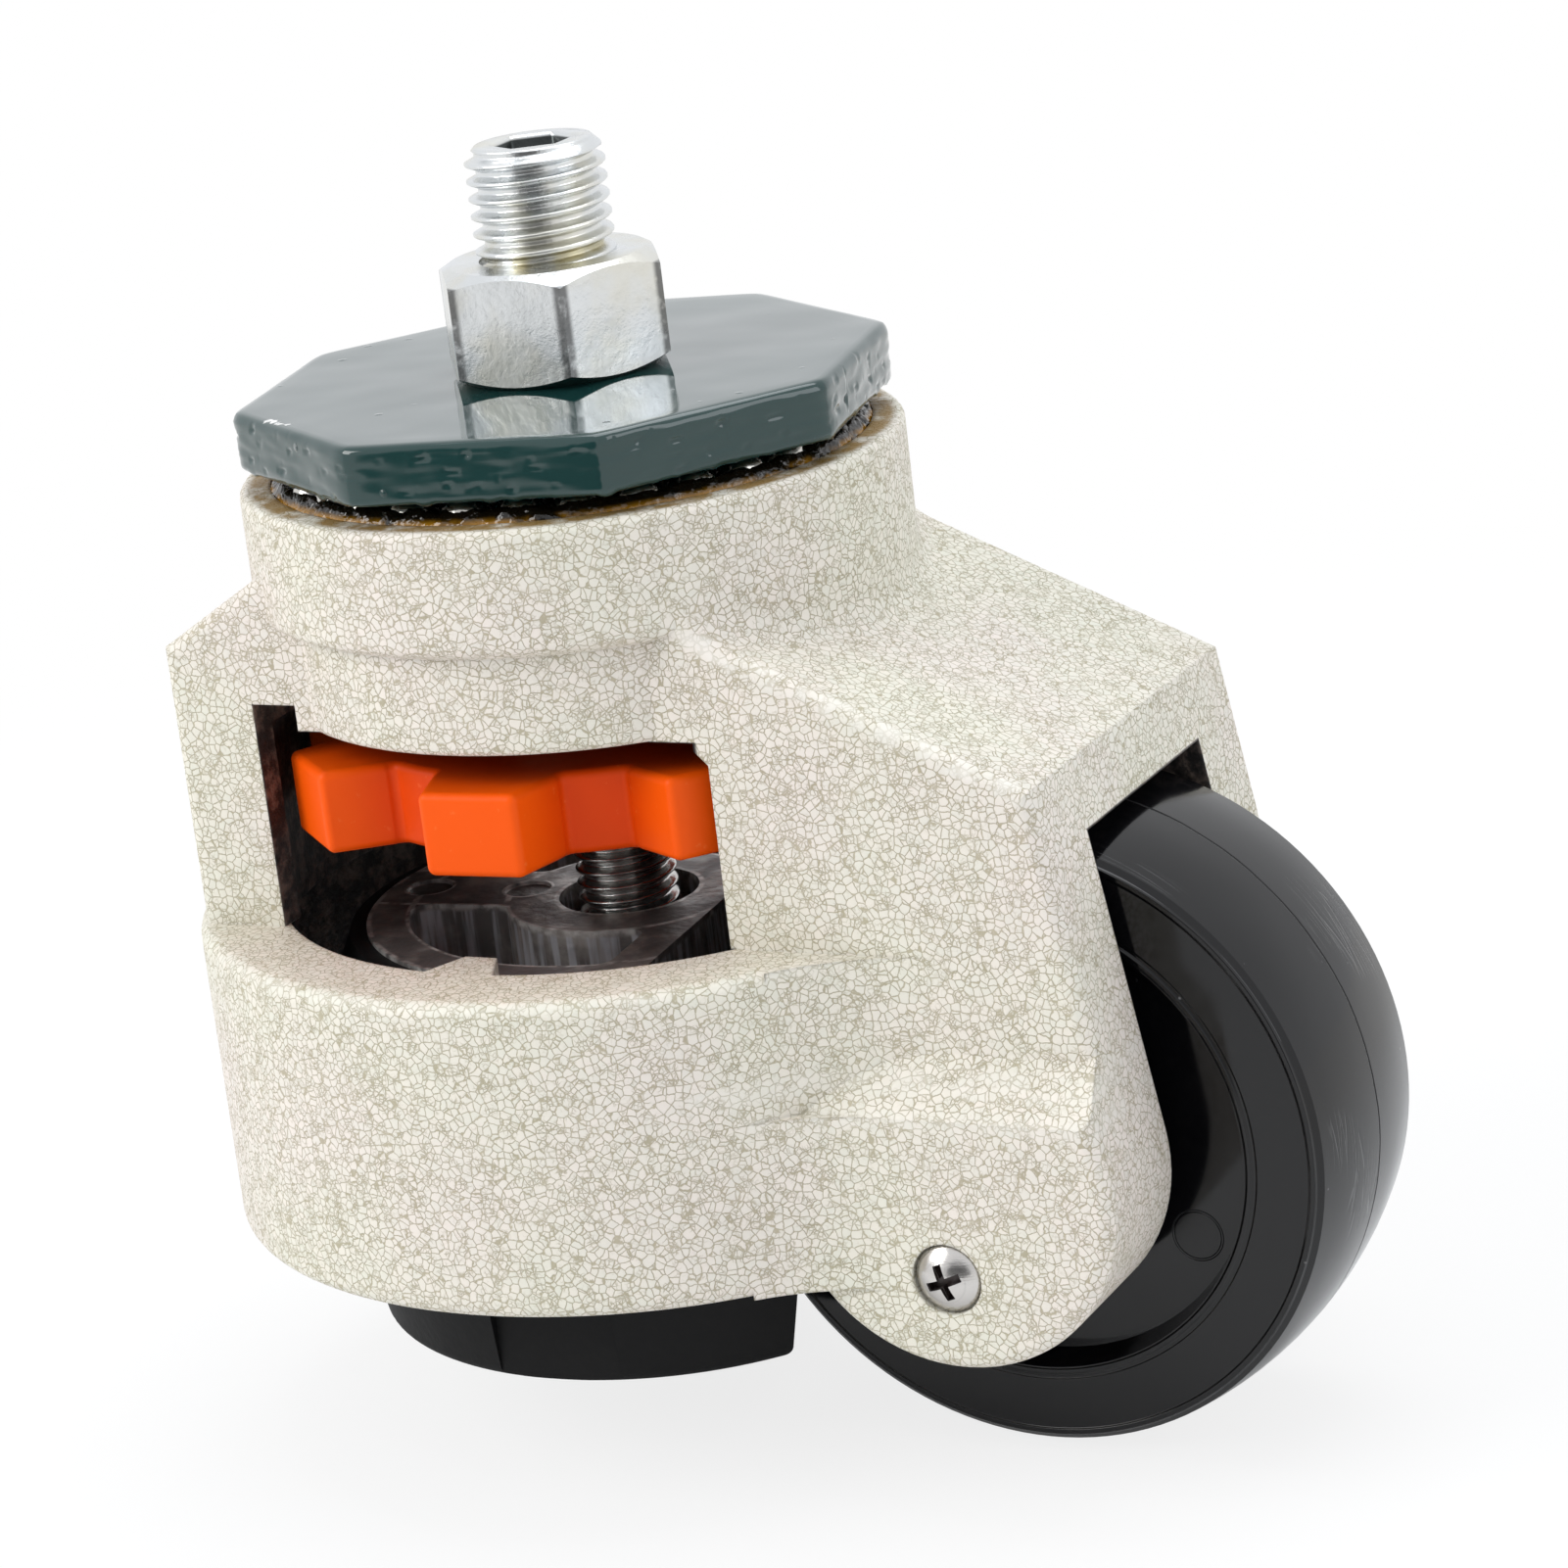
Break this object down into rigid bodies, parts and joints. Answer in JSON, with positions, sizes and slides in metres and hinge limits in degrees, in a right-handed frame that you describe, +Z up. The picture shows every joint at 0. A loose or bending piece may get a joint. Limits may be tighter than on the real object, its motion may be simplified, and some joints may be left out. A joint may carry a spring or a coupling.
{
  "type": "levelling castor",
  "caption": "Swivel castor on a threaded stem, with a black nylon wheel and a rubber foot that a thumbwheel in the cast housing screws down to take the load.",
  "frame": {"origin": "on the swivel axis at the top face of the jam nut, where the free thread of the stem starts and the machine sits", "axes": "+Z up along the stem, +X from the swivel axis towards the wheel, +Y along the wheel's axle"},
  "size_m": [0.141, 0.1, 0.1491],
  "materials": {
    "zinc_steel": "bright zinc plate with a faint yellow tint",
    "green_paint": "thick glossy dark green paint on steel",
    "crackle_paint": "ivory crackle enamel on cast aluminium",
    "bearing_steel": "polished, greased",
    "dark_steel": "black oxide, oiled",
    "stainless": "plain stainless",
    "black_nylon": "glossy, lightly scratched",
    "orange_plastic": "satin moulded plastic",
    "dark_casting": "dark rough die casting",
    "rubber": "matt black rubber",
    "bronze": "sintered bronze"
  },
  "bodies": {
    "mounting": {"stem": "zinc_steel", "jam_nut": "zinc_steel", "top_plate": "green_paint", "lower_race": "bearing_steel"},
    "housing": {"housing": "crackle_paint", "upper_race": "bearing_steel", "upper_balls": "bearing_steel", "lower_balls": "bearing_steel", "thrust_bush": "bronze", "thrust_washer": "stainless", "axle": "dark_steel", "axle_screws": "stainless", "side_washers": "stainless"},
    "wheel": {"wheel": "black_nylon", "wheel_bush": "bronze"},
    "thumbwheel": {"thumbwheel": "orange_plastic", "thread_insert": "dark_steel", "insert_clip": "dark_steel"},
    "foot": {"foot_stud": "dark_steel", "stud_stop": "dark_steel", "stud_ring": "dark_steel", "foot_plate": "dark_casting", "foot_nut": "dark_steel", "foot_pad": "rubber"}
  },
  "joints": [
    {"name": "swivel", "type": "hinge", "parent": "mounting", "child": "housing", "pos_m": [0, 0, 0], "axis": [0, 0, 1], "continuous": true},
    {"name": "wheel_spin", "type": "hinge", "parent": "housing", "child": "wheel", "pos_m": [0.0535, 0, -0.09855], "axis": [0, 1, 0], "continuous": true},
    {"name": "thumbwheel_turn", "type": "hinge", "parent": "housing", "child": "thumbwheel", "pos_m": [0, 0, -0.0572], "axis": [0, 0, 1], "range_deg": [0, 2880]},
    {"name": "foot_travel", "type": "slide", "parent": "housing", "child": "foot", "axis": [0, 0, -1], "range_m": [0, 0.014]}
  ],
  "couplings": [
    {"joint": "foot_travel", "follows": "thumbwheel_turn", "m_per_rad": 0.00027852}
  ]
}
